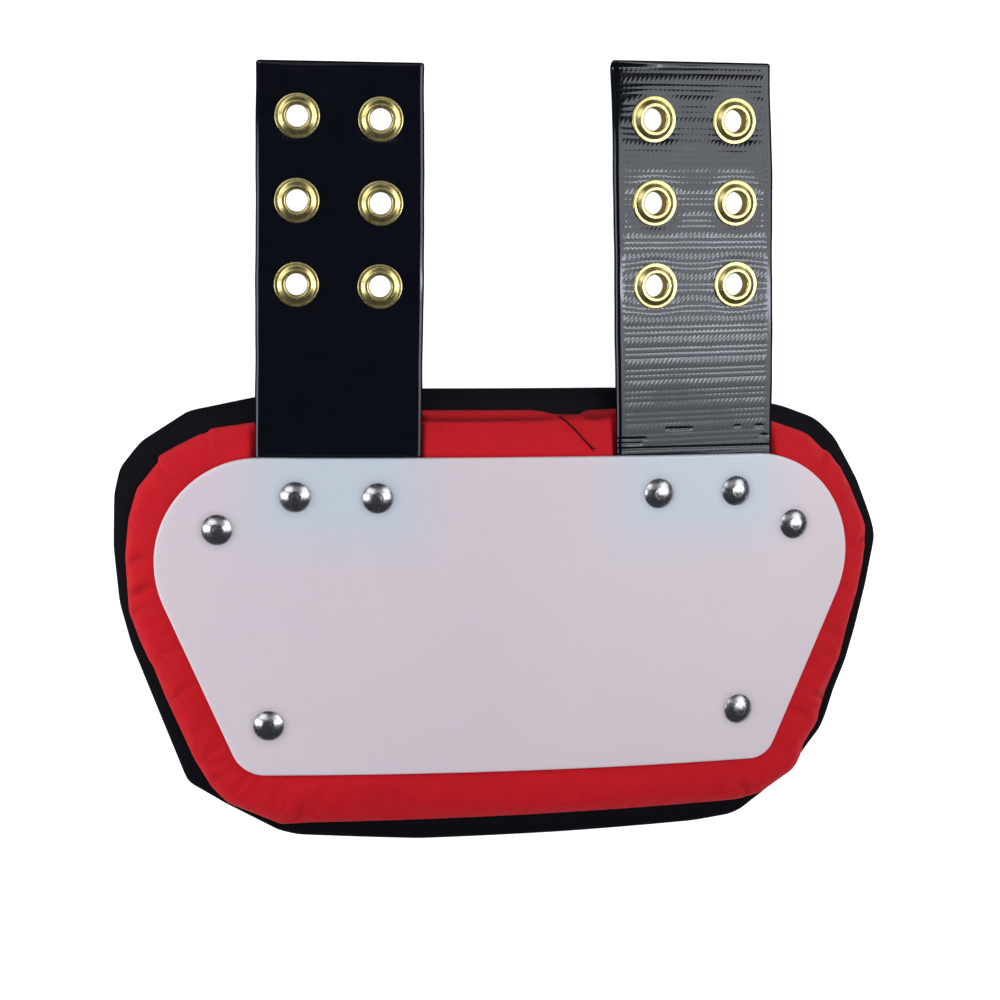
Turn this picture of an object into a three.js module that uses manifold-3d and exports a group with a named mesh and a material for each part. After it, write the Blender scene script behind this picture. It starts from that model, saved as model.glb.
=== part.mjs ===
// Football back plate: a moulded plate riveted over two webbing straps and a sewn foam pad.
// It lies on the back of its pad with the plate's face up. Millimetres, +Z up, +Y towards the strap ends,
// and +X to the right when the plate is looked at with its straps at the top.
import * as THREE from 'three';
import { mergeVertices } from 'three/addons/utils/BufferGeometryUtils.js';
import Module from 'manifold-3d';

const wasm = await Module();
wasm.setup();

// Places on the guard are given flattened out: s runs across the wearer's back along the curve, y runs
// towards the strap ends from the middle of the plate, and lift is the height above the plate's face.
const BACK_RADIUS = 600;
const CLEARANCE = 0.3;

// Plate: each corner is where its two edges would meet, with the radius that rounds it off
const PLATE_THICKNESS = 3.2;
const PLATE_EDGE_ROUND = 0.8;
const PLATE_TOP = 50.8;
const PLATE_CORNERS = [
  { s: 133, y: PLATE_TOP, radius: 33.6 },
  { s: 87.1, y: -PLATE_TOP, radius: 14.1 },
];

// Straps: flat coated webbing that runs up from behind the plate, riveted on a little out of square.
// The centre is where a strap's middle crosses the plate's top edge, the lean is in degrees, and the
// reach is the strap's length above that edge.
const STRAP_WIDTH = 52;
const STRAP_THICKNESS = 3;
const STRAP_EDGE_ROUND = 0.8;
const STRAP_TUCK = 26;
const STRAPS = [
  { side: 'left', centre: -56.6, lean: -0.4, reach: 122.4 },
  { side: 'right', centre: 61.2, lean: 1.9, reach: 124.8 },
];

// Grommets: two columns of three in each strap, counted up from the plate's top edge
const GROMMET_COLUMN_PITCH = 26.4;
const GROMMET_ROW_PITCH = 26;
const GROMMET_LOWEST = 54;
const GROMMET_ROWS = 3;
const GROMMET_BORE = 3.5;
const GROMMET_BARREL = 4.5;
const GROMMET_CREST = 4.8;
const GROMMET_LIP = 6.4;
const GROMMET_FLANGE = 7.3;
const GROMMET_WASHER = 7;
const GROMMET_LIP_TOP = 0.5;
const GROMMET_CREST_TOP = 1.2;
const GROMMET_WASHER_THICKNESS = 0.8;
const GROMMET_MOUTH_ROUND = 0.6;
const GROMMET_SIDES = 14;

// Rivets: two hold each strap, and the other four hold the cover of the pad
const RIVET_HEAD = 4.8;
const RIVET_HEIGHT = 2.5;
const RIVET_DIMPLE = 1.7;
const RIVET_DIMPLE_DEPTH = 0.35;
const RIVET_SHANK = 2.2;
const RIVET_TAIL = 4;
const RIVET_TAIL_THICKNESS = 1.2;
const RIVET_SIDES = 12;
const RIVETS = [
  { side: 'left', place: 'corner', s: -94.8, y: 28.2, holds: 'pad' },
  { side: 'left', place: 'strap_outer', s: -70.3, y: 38.8, holds: 'strap' },
  { side: 'left', place: 'strap_inner', s: -44.3, y: 38.4, holds: 'strap' },
  { side: 'left', place: 'bottom', s: -78.8, y: -34.2, holds: 'pad' },
  { side: 'right', place: 'corner', s: 94.3, y: 27.3, holds: 'pad' },
  { side: 'right', place: 'strap_outer', s: 73.2, y: 39, holds: 'strap' },
  { side: 'right', place: 'strap_inner', s: 46.8, y: 38.8, holds: 'strap' },
  { side: 'right', place: 'bottom', s: 76, y: -33.4, holds: 'pad' },
];

// Pad: a front and a back half that meet at the seam, each rolled over towards its outline.
// The sewn pad sits slightly to the right of the plate's middle.
const PAD_OFFSET = 1;
const PAD_FACE_GAP = 0.5;
const PAD_SEAM_LIFT = -10.5;
const PAD_BULGE_LIFT = -15.5;
const PAD_BACK_LIFT = -22;
const PAD_FRONT_ROLL = 15;
const PAD_SEAM_SETBACK = 7;
const PAD_BACK_ROLL = 12;
const PAD_COVER = 2;
const PAD_FLATTENING = 3;
const PAD_FRONT_CORNERS = [
  { s: 0, y: 64.8, radius: 300 },
  { s: 120.4, y: 59.4, radius: 35 },
  { s: 127.8, y: 6, radius: 50 },
  { s: 97.2, y: -69.6, radius: 32 },
];
const PAD_BACK_CORNERS = [
  { s: 0, y: 72, radius: 400 },
  { s: 126.5, y: 65, radius: 49 },
  { s: 132.4, y: 11, radius: 40 },
  { s: 103.6, y: -61.5, radius: 14 },
  { s: 80, y: -74.5, radius: 30 },
  { s: 0, y: -77.4, radius: 400 },
];

// Fineness of the facets
const ARC_STEP = THREE.MathUtils.degToRad(18);
const EDGE_STEP = 21;
const INNER_REACHES = [0.25, 0.5, 0.75];

// Worked out from the sizes above. The strap is flat, so its edges come nearest to the curved plate.
const PAD_FACE_LIFT = -PLATE_THICKNESS - PAD_FACE_GAP;
const STRAP_SAG = (STRAP_WIDTH / 2) ** 2 / (2 * BACK_RADIUS);
const STRAP_LIFT = -PLATE_THICKNESS - STRAP_SAG - CLEARANCE;
const TAIL_LIFT = {
  strap: STRAP_LIFT - STRAP_THICKNESS - CLEARANCE,
  pad: PAD_FACE_LIFT - PAD_COVER - CLEARANCE,
};

const FINISHES = {
  polyethylene: { color: 0xd8cfd9, roughness: 0.4, metalness: 0 },
  coated_webbing: { color: 0x111419, roughness: 0.3, metalness: 0 },
  brass: { color: 0xc8b870, roughness: 0.25, metalness: 1 },
  plated_steel: { color: 0xb4b6bd, roughness: 0.25, metalness: 1 },
  red_nylon: { color: 0xc0242d, roughness: 0.8, metalness: 0 },
  black_nylon: { color: 0x15141a, roughness: 0.85, metalness: 0 },
};

// Curve of the back: a flattened place bent round the axis that lies behind the guard
function bend(s, y, lift) {
  const angle = s / BACK_RADIUS;
  const radius = BACK_RADIUS + lift;
  return new THREE.Vector3(radius * Math.sin(angle), y, radius * Math.cos(angle) - BACK_RADIUS);
}

// Frame standing on the curve, with its own Z along the outward normal
function standing(s, y, lift) {
  return new THREE.Matrix4().makeRotationY(s / BACK_RADIUS).setPosition(bend(s, y, lift));
}

// Closed mesh with shared corners and no collapsed triangles
function closed(geometry) {
  geometry.deleteAttribute('normal');
  geometry.deleteAttribute('uv');
  const merged = mergeVertices(geometry, 1e-4);
  const corners = merged.index.array;
  const kept = [];
  for (let i = 0; i < corners.length; i += 3) {
    const [a, b, c] = corners.slice(i, i + 3);
    if (a !== b && b !== c && c !== a) kept.push(a, b, c);
  }
  merged.setIndex(kept);
  return merged;
}

function toSolid(geometry) {
  const vertProperties = new Float32Array(geometry.attributes.position.array);
  const triVerts = new Uint32Array(geometry.index.array);
  return new wasm.Manifold(new wasm.Mesh({ numProp: 3, vertProperties, triVerts }));
}

function cut(geometry, cutters) {
  const solid = cutters.reduce((body, cutter) => body.subtract(toSolid(cutter)), toSolid(geometry));
  const mesh = solid.getMesh();
  const result = new THREE.BufferGeometry();
  result.setAttribute('position', new THREE.BufferAttribute(mesh.vertProperties, 3));
  result.setIndex([...mesh.triVerts]);
  return result;
}

// Outline from the corners of its right half, mirrored, as points with outward directions, anticlockwise
function outlineOf(rightCorners) {
  const leftCorners = rightCorners.filter(({ s }) => s > 0).map((corner) => ({ ...corner, s: -corner.s }));
  const corners = [...rightCorners, ...leftCorners.reverse()].reverse();
  const rounded = corners.flatMap((corner, i) => {
    const before = corners.at(i - 1);
    const after = corners[(i + 1) % corners.length];
    return cornerArc(corner, before, after);
  });
  return rounded.flatMap((start, i) => edgePoints(start, rounded[(i + 1) % rounded.length]));
}

function cornerArc(corner, before, after) {
  const arriving = Math.atan2(corner.y - before.y, corner.s - before.s);
  const leaving = Math.atan2(after.y - corner.y, after.s - corner.s);
  const turn = THREE.MathUtils.euclideanModulo(leaving - arriving, 2 * Math.PI);
  const tangent = corner.radius * Math.tan(turn / 2);
  const at = new THREE.Vector2(corner.s, corner.y);
  const start = at.clone().sub(heading(arriving).multiplyScalar(tangent));
  const centre = start.clone().sub(heading(arriving - Math.PI / 2).multiplyScalar(corner.radius));
  const steps = Math.ceil(turn / ARC_STEP);
  return Array.from({ length: steps + 1 }, (_, k) => {
    const outward = heading(arriving - Math.PI / 2 + (turn * k) / steps);
    return { point: centre.clone().addScaledVector(outward, corner.radius), outward };
  });
}

function heading(angle) {
  return new THREE.Vector2(Math.cos(angle), Math.sin(angle));
}

function edgePoints(start, end) {
  const steps = Math.max(1, Math.ceil(start.point.distanceTo(end.point) / EDGE_STEP));
  return Array.from({ length: steps }, (_, k) => ({
    point: start.point.clone().lerp(end.point, k / steps),
    outward: start.outward.clone().lerp(end.outward, k / steps).normalize(),
  }));
}

// Bent body whose rings follow one outline, from the middle of its front round to the middle of its back.
// Each row says what share of the outline the ring reaches, how far it is set in, and its lift.
function ringBody(outline, rows, offset = 0) {
  const count = outline.length;
  const places = [];
  const triangles = [];
  rows.forEach(({ reach, inset, lift }) => {
    outline.forEach(({ point, outward }) => {
      const place = point.clone().multiplyScalar(reach).addScaledVector(outward, -inset);
      places.push(...bend(place.x + offset, place.y, lift));
    });
  });
  for (let row = 0; row + 1 < rows.length; row += 1) {
    for (let k = 0; k < count; k += 1) {
      const next = (k + 1) % count;
      const [a, b] = [row * count + k, row * count + next];
      const [c, d] = [b + count, a + count];
      triangles.push(a, d, c, a, c, b);
    }
  }
  const geometry = new THREE.BufferGeometry();
  geometry.setAttribute('position', new THREE.Float32BufferAttribute(places, 3));
  geometry.setIndex(triangles);
  return closed(geometry);
}

function innerRows(lift) {
  return [0, ...INNER_REACHES].map((reach) => ({ reach, inset: 0, lift }));
}

// Turned body round its own Z, from a profile of [radius, height] pairs
function turned(profile, sides) {
  const points = profile.map(([radius, height]) => new THREE.Vector2(radius, height));
  return closed(new THREE.LatheGeometry(points, sides).rotateX(Math.PI / 2));
}

// Quarter of a rolled edge, from flat to upright, as shares of its width and of its height
function rolledEdge(steps) {
  return Array.from({ length: steps + 1 }, (_, k) => {
    const angle = ((k / steps) * Math.PI) / 2;
    return { setIn: 1 - Math.sin(angle), drop: 1 - Math.cos(angle) };
  });
}

function plateBody() {
  const back = -PLATE_THICKNESS;
  return ringBody(outlineOf(PLATE_CORNERS), [
    ...innerRows(0),
    { reach: 1, inset: PLATE_EDGE_ROUND, lift: 0 },
    { reach: 1, inset: 0, lift: -PLATE_EDGE_ROUND },
    { reach: 1, inset: 0, lift: back + PLATE_EDGE_ROUND },
    { reach: 1, inset: PLATE_EDGE_ROUND, lift: back },
    ...innerRows(back).reverse(),
  ]);
}

function padFrontBody() {
  const roll = rolledEdge(4).map(({ setIn, drop }) => ({
    reach: 1,
    inset: PAD_FRONT_ROLL * setIn,
    lift: PAD_FACE_LIFT + (PAD_SEAM_LIFT - PAD_FACE_LIFT) * drop,
  }));
  return ringBody(outlineOf(PAD_FRONT_CORNERS), [
    ...innerRows(PAD_FACE_LIFT),
    ...roll,
    ...innerRows(PAD_SEAM_LIFT).reverse(),
  ], PAD_OFFSET);
}

function padBackBody() {
  const top = PAD_SEAM_LIFT - CLEARANCE;
  const shoulder = rolledEdge(2).map(({ setIn, drop }) => ({
    reach: 1,
    inset: PAD_SEAM_SETBACK * setIn,
    lift: top + (PAD_BULGE_LIFT - top) * drop,
  }));
  const underside = rolledEdge(3).reverse().slice(1).map(({ setIn, drop }) => ({
    reach: 1,
    inset: PAD_BACK_ROLL * setIn,
    lift: PAD_BACK_LIFT + (PAD_BULGE_LIFT - PAD_BACK_LIFT) * drop,
  }));
  const body = ringBody(outlineOf(PAD_BACK_CORNERS), [
    ...innerRows(top),
    ...shoulder,
    ...underside,
    ...innerRows(PAD_BACK_LIFT).reverse(),
  ], PAD_OFFSET);
  return flattened(body);
}

// The soft back of the pad is pressed flat where it lies on a table
function flattened(geometry) {
  geometry.computeBoundingBox();
  const table = geometry.boundingBox.min.z + PAD_FLATTENING;
  const position = geometry.attributes.position;
  for (let i = 0; i < position.count; i += 1) {
    position.setZ(i, Math.max(position.getZ(i), table));
  }
  return geometry;
}

// Strap in its own frame: Z 0 is its front face, X 0 its middle, and Y 0 the plate's top edge
function strapBody(reach) {
  const half = STRAP_WIDTH / 2;
  const shape = new THREE.Shape([
    new THREE.Vector2(-half, -STRAP_TUCK),
    new THREE.Vector2(half, -STRAP_TUCK),
    new THREE.Vector2(half, reach),
    new THREE.Vector2(-half, reach),
  ]);
  const webbing = new THREE.ExtrudeGeometry(shape, {
    depth: STRAP_THICKNESS - 2 * STRAP_EDGE_ROUND,
    bevelThickness: STRAP_EDGE_ROUND,
    bevelSize: STRAP_EDGE_ROUND,
    bevelOffset: -STRAP_EDGE_ROUND,
    bevelSegments: 2,
  });
  return closed(webbing.translate(0, 0, STRAP_EDGE_ROUND - STRAP_THICKNESS));
}

// Groove that the strap presses into the front of the pad
function strapGroove(reach) {
  const width = STRAP_WIDTH + 2 * CLEARANCE;
  const bottom = -STRAP_TUCK - CLEARANCE;
  const depth = 2 * (STRAP_THICKNESS + CLEARANCE);
  const box = new THREE.BoxGeometry(width, reach - bottom, depth);
  return closed(box.translate(0, (reach + bottom) / 2, 0));
}

function grommetHole() {
  const radius = GROMMET_BARREL + CLEARANCE;
  const [low, high] = [-2 * STRAP_THICKNESS, STRAP_THICKNESS];
  return turned([[0, low], [radius, low], [radius, high], [0, high]], GROMMET_SIDES);
}

// Grommet in the strap's frame: a domed flange in front, a barrel, and a flat washer clenched on behind
function grommetBody() {
  const seat = -STRAP_THICKNESS - CLEARANCE;
  const washerBack = seat - GROMMET_WASHER_THICKNESS;
  const crest = [0, 50, 90, 130, 180].map((degrees) => {
    const angle = THREE.MathUtils.degToRad(degrees);
    const halfWidth = degrees < 90 ? GROMMET_LIP - GROMMET_CREST : GROMMET_CREST - GROMMET_BORE;
    const rise = GROMMET_CREST_TOP - GROMMET_LIP_TOP;
    return [GROMMET_CREST + halfWidth * Math.cos(angle), GROMMET_LIP_TOP + rise * Math.sin(angle)];
  });
  return turned([
    [GROMMET_WASHER, washerBack],
    [GROMMET_WASHER, seat],
    [GROMMET_BARREL, seat],
    [GROMMET_BARREL, CLEARANCE],
    [GROMMET_FLANGE, CLEARANCE],
    [GROMMET_FLANGE, GROMMET_LIP_TOP],
    ...crest,
    [GROMMET_BORE, washerBack + GROMMET_MOUTH_ROUND],
    [GROMMET_BORE + GROMMET_MOUTH_ROUND, washerBack],
    [GROMMET_WASHER, washerBack],
  ], GROMMET_SIDES);
}

// Rivet on the plate's face: a plain clenched tail, a shank and a domed head with a dimple
function rivetBody(tailLift) {
  const domeHeight = RIVET_HEIGHT - CLEARANCE;
  const domeRadius = (RIVET_HEAD ** 2 + domeHeight ** 2) / (2 * domeHeight);
  const dome = [0, 0.2, 0.55, 1].map((inwards) => {
    const radius = THREE.MathUtils.lerp(RIVET_HEAD, RIVET_DIMPLE, inwards);
    return [radius, RIVET_HEIGHT - domeRadius + Math.sqrt(domeRadius ** 2 - radius ** 2)];
  });
  return turned([
    [0, tailLift - RIVET_TAIL_THICKNESS],
    [RIVET_TAIL, tailLift - RIVET_TAIL_THICKNESS],
    [RIVET_TAIL, tailLift],
    [RIVET_SHANK, tailLift],
    [RIVET_SHANK, CLEARANCE],
    ...dome,
    [0, RIVET_HEIGHT - RIVET_DIMPLE_DEPTH],
  ], RIVET_SIDES);
}

// Room for a rivet's shank and tail in the pieces that it passes through
function rivetHole(tailLift) {
  const shank = RIVET_SHANK + CLEARANCE;
  const tail = RIVET_TAIL + CLEARANCE;
  const tailBottom = tailLift - RIVET_TAIL_THICKNESS - CLEARANCE;
  const tailTop = tailLift + CLEARANCE;
  return turned([
    [0, tailBottom],
    [tail, tailBottom],
    [tail, tailTop],
    [shank, tailTop],
    [shank, RIVET_HEIGHT],
    [0, RIVET_HEIGHT],
  ], RIVET_SIDES);
}

function piece(name, geometry, finish) {
  const mesh = new THREE.Mesh(geometry, new THREE.MeshStandardMaterial(FINISHES[finish]));
  mesh.name = name;
  return mesh;
}

const rivets = RIVETS.map(({ side, place, s, y, holds }) => {
  const frame = standing(s, y, 0);
  const hole = rivetHole(TAIL_LIFT[holds]).applyMatrix4(frame);
  return { name: `rivet_${side}_${place}`, side, holds, frame, hole };
});
const rivetHoles = rivets.map(({ hole }) => hole);

const straps = STRAPS.map(({ side, centre, lean, reach }) => {
  const leaning = new THREE.Matrix4().makeRotationZ(THREE.MathUtils.degToRad(lean));
  return { side, reach, frame: standing(centre, PLATE_TOP, STRAP_LIFT).multiply(leaning) };
});
const strapGrooves = straps.map(({ reach, frame }) => strapGroove(reach).applyMatrix4(frame));

const grommetPlaces = ['left', 'right'].flatMap((column, i) => {
  const x = (i - 0.5) * GROMMET_COLUMN_PITCH;
  return Array.from({ length: GROMMET_ROWS }, (_, row) => ({
    label: `${column}_${row + 1}`,
    x,
    y: GROMMET_LOWEST + row * GROMMET_ROW_PITCH,
  }));
});

// A strap with its grommets, in the strap's own frame
function strapGroup({ side, reach, frame }) {
  const group = new THREE.Group();
  const towardsStrap = frame.clone().invert();
  const throughRivets = rivets
    .filter((rivet) => rivet.side === side && rivet.holds === 'strap')
    .map(({ hole }) => hole.clone().applyMatrix4(towardsStrap));
  const throughGrommets = grommetPlaces.map(({ x, y }) => grommetHole().translate(x, y, 0));
  const webbing = cut(strapBody(reach), [...throughRivets, ...throughGrommets]);
  group.add(piece(`strap_${side}`, webbing, 'coated_webbing'));
  grommetPlaces.forEach(({ label, x, y }) => {
    const grommet = piece(`grommet_${side}_${label}`, grommetBody(), 'brass');
    grommet.position.set(x, y, 0);
    group.add(grommet);
  });
  group.applyMatrix4(frame);
  return group;
}

const guard = new THREE.Group();
guard.add(piece('pad_back', padBackBody(), 'black_nylon'));
guard.add(piece('pad_front', cut(padFrontBody(), [...strapGrooves, ...rivetHoles]), 'red_nylon'));
guard.add(piece('plate', cut(plateBody(), rivetHoles), 'polyethylene'));
straps.forEach((strap) => guard.add(strapGroup(strap)));
rivets.forEach(({ name, holds, frame }) => {
  const rivet = piece(name, rivetBody(TAIL_LIFT[holds]), 'plated_steel');
  rivet.applyMatrix4(frame);
  guard.add(rivet);
});

// The origin is on the table, under the middle of the whole guard
guard.updateMatrixWorld(true);
const extent = new THREE.Box3().setFromObject(guard, true);
const middle = extent.getCenter(new THREE.Vector3());
guard.position.set(-middle.x, -middle.y, -extent.min.z);

export default guard;
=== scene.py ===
# %% [markdown]
# # Dressing a football back plate
# A back plate hangs under a player's shoulder pads and guards the small of the back. It is a white
# plastic plate on a sewn foam pad, and two webbing straps with brass grommets tie it on.
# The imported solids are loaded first. They fix every size and place, and each piece made below takes
# the place of the plain solids that it names.

import math

import bmesh
import bpy
import numpy as np
from mathutils import Matrix, Vector
from mathutils.bvhtree import BVHTree


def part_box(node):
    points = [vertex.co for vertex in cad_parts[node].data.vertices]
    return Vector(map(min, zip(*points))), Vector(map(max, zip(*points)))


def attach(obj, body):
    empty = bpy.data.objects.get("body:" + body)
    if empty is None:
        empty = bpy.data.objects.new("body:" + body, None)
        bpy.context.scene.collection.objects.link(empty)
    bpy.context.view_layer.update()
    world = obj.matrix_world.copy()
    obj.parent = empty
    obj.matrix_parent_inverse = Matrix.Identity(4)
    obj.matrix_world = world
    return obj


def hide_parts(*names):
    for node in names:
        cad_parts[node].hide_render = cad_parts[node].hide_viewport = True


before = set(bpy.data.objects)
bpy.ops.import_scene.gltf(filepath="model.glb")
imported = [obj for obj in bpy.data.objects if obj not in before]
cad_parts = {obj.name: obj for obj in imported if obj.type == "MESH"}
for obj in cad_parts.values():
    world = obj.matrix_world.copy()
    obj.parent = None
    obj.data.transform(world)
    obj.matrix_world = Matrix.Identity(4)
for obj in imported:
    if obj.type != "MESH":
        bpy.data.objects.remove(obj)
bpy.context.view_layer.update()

# %% [markdown]
# ## One way to say where things are
# The plate and the pad are bent round a back of 600 mm radius. It is easier to think of them laid flat,
# so every place is written as s, the distance across, y, the height, and lift, the distance above the
# plate's front face, all in millimetres. One function bends such a place into the scene, in metres.

# %% Bend flat places round the back
BACK_RADIUS = 600.0
plate_low, plate_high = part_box("plate")
PLATE_CENTRE = Vector(((plate_low.x + plate_high.x) / 2, (plate_low.y + plate_high.y) / 2, plate_high.z))


def on_back(s, y, lift):
    """Places of the scene in metres, from flat millimetres and a lift above the plate's face."""
    s, y, lift = np.broadcast_arrays(np.asarray(s, float), np.asarray(y, float), np.asarray(lift, float))
    reach = BACK_RADIUS + lift
    x = reach * np.sin(s / BACK_RADIUS)
    z = reach * np.cos(s / BACK_RADIUS) - BACK_RADIUS
    return np.stack([x, y, z], -1) / 1000 + np.array(PLATE_CENTRE)


def standing(s, y, lift):
    """A frame whose Z axis stands straight up from the bent surface at a flat place."""
    place = Matrix.Translation(Vector(on_back(s, y, lift)))
    return place @ Matrix.Rotation(s / BACK_RADIUS, 4, "Y")


print("plate's centre in mm:", [round(1000 * v, 2) for v in PLATE_CENTRE])

# %% [markdown]
# ## The camera
# The photograph looks down on the plate from 70 cm, a little from the left and from above. The turn,
# tilt and roll were found by laying the plate's outline over the photograph. The picture is 0.32 m wide
# at the plate's middle, which is 0.32 mm for each of its 1000 pixels.

# %% Set the camera
CAMERA_DISTANCE, PICTURE_WIDTH, SENSOR_WIDTH = 0.7, 0.32, 36.0
CAMERA_ASIDE = Vector((0.0047, -0.0368, -CAMERA_DISTANCE))
CAMERA_TURNS = (("Z", -0.58), ("X", 7.59), ("Y", 10.11))


def linked(name, data):
    """A new object with that data, put into the scene."""
    made = bpy.data.objects.new(name, data)
    bpy.context.scene.collection.objects.link(made)
    return made


camera = linked("camera", bpy.data.cameras.new("camera"))
camera.data.sensor_width = SENSOR_WIDTH
camera.data.lens = SENSOR_WIDTH * CAMERA_DISTANCE / PICTURE_WIDTH
camera.data.clip_start = 0.01
view = Matrix.Translation(CAMERA_ASIDE)
for axis, degrees in CAMERA_TURNS:
    view = view @ Matrix.Rotation(math.radians(degrees), 4, axis)
camera.matrix_world = Matrix.Translation(PLATE_CENTRE) @ view.inverted()
bpy.context.scene.camera = camera
bpy.context.scene.view_settings.view_transform = "Standard"
print("camera at", [round(v, 3) for v in camera.matrix_world.translation], "lens", camera.data.lens)

# %% [markdown]
# ## Nodes and colours
# Every material and every Geometry Nodes tree is built from the same small function, which adds one node,
# sets it and links it. Colours are written as a screen shows them, and a second function turns them into
# the linear light that a shader works in.

# %% Add one node, read one colour
def node(tree, kind, inputs=None, out=0, **settings):
    """Adds a node, or takes one that is there, and returns one of its outputs, or all of them where out
    is None. A value in inputs is set on its socket, and another node's output is linked to it."""
    made = tree.nodes.new(kind) if isinstance(kind, str) else kind
    for name, value in settings.items():
        setattr(made, name, value)
    for key, value in (inputs or {}).items():
        if isinstance(value, bpy.types.NodeSocket):
            tree.links.new(value, made.inputs[key])
        else:
            made.inputs[key].default_value = value
    return made.outputs if out is None or not len(made.outputs) else made.outputs[out]


def colour(code):
    """Linear red, green, blue and alpha of an sRGB colour such as #D12730."""
    parts = [int(code[k : k + 2], 16) / 255 for k in (1, 3, 5)]
    return (*[c / 12.92 if c <= 0.04045 else ((c + 0.055) / 1.055) ** 2.4 for c in parts], 1.0)


def finish(name, looks):
    """A new material with its tree, its shader, and the piece's own coordinates in metres.
    Looks are the values that are the same all over it."""
    made = bpy.data.materials.new(name)
    made.use_nodes = True
    tree, shader = made.node_tree, made.node_tree.nodes["Principled BSDF"]
    node(tree, shader, looks)
    return made, tree, shader, node(tree, "ShaderNodeTexCoord", out="Object")


def mottled(tree, place, size, dark, light, **more):
    """A noise of that size in mm, and a colour that wanders with it from a dark to a light shade."""
    noise = node(tree, "ShaderNodeTexNoise", {"Vector": place, "Scale": 1000 / size, **more}, "Fac")
    return noise, node(tree, "ShaderNodeMix", {0: noise, 6: colour(dark), 7: colour(light)}, 2, data_type="RGBA")


print("plate white in linear light:", [round(v, 3) for v in colour("#E7DDE8")])

# %% [markdown]
# ## Floor and studio light
# The photograph was taken on white with two soft lights. The glossy straps tell where they stood: the
# right strap mirrors a softbox high on the right, with a brighter tube in it, and the left strap mirrors
# the dark ceiling between them. Each softbox is an area light set by how bright its face looks. Two
# windows and the wall between them show only in the mirror images of the rivets and rings. A wide fill
# adds even light and stays out of the mirror images, as the paper floor does, because the photographed
# steel is dark where it would mirror them.

# %% Floor
FLOOR_REACH, FLOOR_LEVEL = 3.0, -0.0004
floor_mesh = bpy.data.meshes.new("floor")
corners = [(x * FLOOR_REACH, y * FLOOR_REACH, FLOOR_LEVEL) for x, y in ((-1, -1), (1, -1), (1, 1), (-1, 1))]
floor_mesh.from_pydata(corners, [], [(0, 1, 2, 3)])
floor = linked("floor", floor_mesh)
floor.visible_glossy = False
# Paper is matt and nearly white. A glow of its own keeps it as bright as in the photograph.
paper, tree, shader, place = finish("white_paper_sweep", {
    "Roughness": 0.9, "Specular IOR Level": 0.1, "Emission Color": (1, 1, 1, 1), "Emission Strength": 0.85,
})
_, white = mottled(tree, place, 4.0, "#F1F1F1", "#F6F6F6")
node(tree, shader, {"Base Color": white})
floor_mesh.materials.append(paper)
print("floor at z", FLOOR_LEVEL)

# %% Softboxes
LAMP_ROWS, FADE_FROM, FADE_TO, FADED = (("X", 9), ("Y", 6)), 0.25, 0.37, 0.62


def softbox(name, inner, outer, low, high, glow, mirrored=True, lighting=True, lamps=0.0):
    """A panel from its inner to its outer edge, given as x and z in mm from the plate's centre.
    It shows in mirror images, it lights what is matt, or both. Lamps is how strongly the rows of lamps
    inside show through its cloth, which then fades towards its lower edge."""
    inner, outer = Vector((inner[0], 0, inner[1])), Vector((outer[0], 0, outer[1]))
    across = (outer - inner).normalized()
    up = Vector((0, 1 if across.x > 0 else -1, 0))
    light = bpy.data.lights.new(name, "AREA")
    light.shape = "RECTANGLE"
    light.size, light.size_y = (outer - inner).length / 1000, (high - low) / 1000
    light.energy = glow * math.pi * light.size * light.size_y
    lamp = linked(name, light)
    middle = ((inner + outer) / 2 + Vector((0, (low + high) / 2, 0))) / 1000 + PLATE_CENTRE
    facing = Matrix((across, up, across.cross(up))).transposed().to_4x4()
    lamp.matrix_world = Matrix.Translation(middle) @ facing
    lamp.visible_glossy, lamp.visible_diffuse = mirrored, lighting
    if lamps:
        light.use_nodes = True
        tree, spots = light.node_tree, 1.0
        where = node(tree, "ShaderNodeNewGeometry", out="Parametric")
        panel = node(tree, "ShaderNodeSeparateXYZ", {0: where}, None)
        for axis, count in LAMP_ROWS:
            angle = node(tree, "ShaderNodeMath", {0: panel[axis], 1: 2 * math.pi * count}, operation="MULTIPLY")
            wave = node(tree, "ShaderNodeMath", {0: angle}, operation="SINE")
            spots = node(tree, "ShaderNodeMath", {0: wave, 1: spots}, operation="MULTIPLY")
        uneven = node(tree, "ShaderNodeMath", {0: spots, 1: lamps, 2: 1.0}, operation="MULTIPLY_ADD")
        fading = node(tree, "ShaderNodeMapRange", {0: panel["Y"], 1: FADE_FROM, 2: FADE_TO, 3: FADED, 4: 1.0})
        faded = node(tree, "ShaderNodeMath", {0: uneven, 1: fading}, operation="MULTIPLY")
        node(tree, tree.nodes["Emission"], {"Strength": faded})
    print(name, "size in mm", [round(1000 * v) for v in (light.size, light.size_y)], "watts", round(light.energy, 2))


# Each light has its inner and outer edge, its lowest and highest y, and its glow.
softbox("softbox_right", (175, 610), (600, 270), -75, 226, 3.1, lamps=0.35)
softbox("softbox_right_tube", (150, 590), (520, 290), 73, 92, 9.5, lighting=False)
softbox("softbox_left", (-500, 430), (-700, 20), -90, 170, 3.6)
softbox("window_right", (330, 640), (800, 250), 300, 760, 2.2, lighting=False)
softbox("window_left", (-330, 640), (-800, 250), 300, 760, 2.2, lighting=False)
softbox("wall_between", (-330, 640), (330, 640.1), 300, 760, 0.4, lighting=False)
softbox("ceiling_fill", (-1400, 1300), (350, 1300.1), -450, 1050, 1.3, mirrored=False)
world = bpy.data.worlds.new("dim_room")
bpy.context.scene.world = world
world.use_nodes = True
node(world.node_tree, world.node_tree.nodes["Background"], {"Color": colour("#A9AEB8"), "Strength": 0.12})

# %% [markdown]
# ## Helpers for meshes
# Most pieces are rows of points, each row a closed ring, joined by quads from a first pole to a last pole.
# The finished mesh keeps its place in its points, so that its object sits at the origin, as the solids do.

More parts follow.
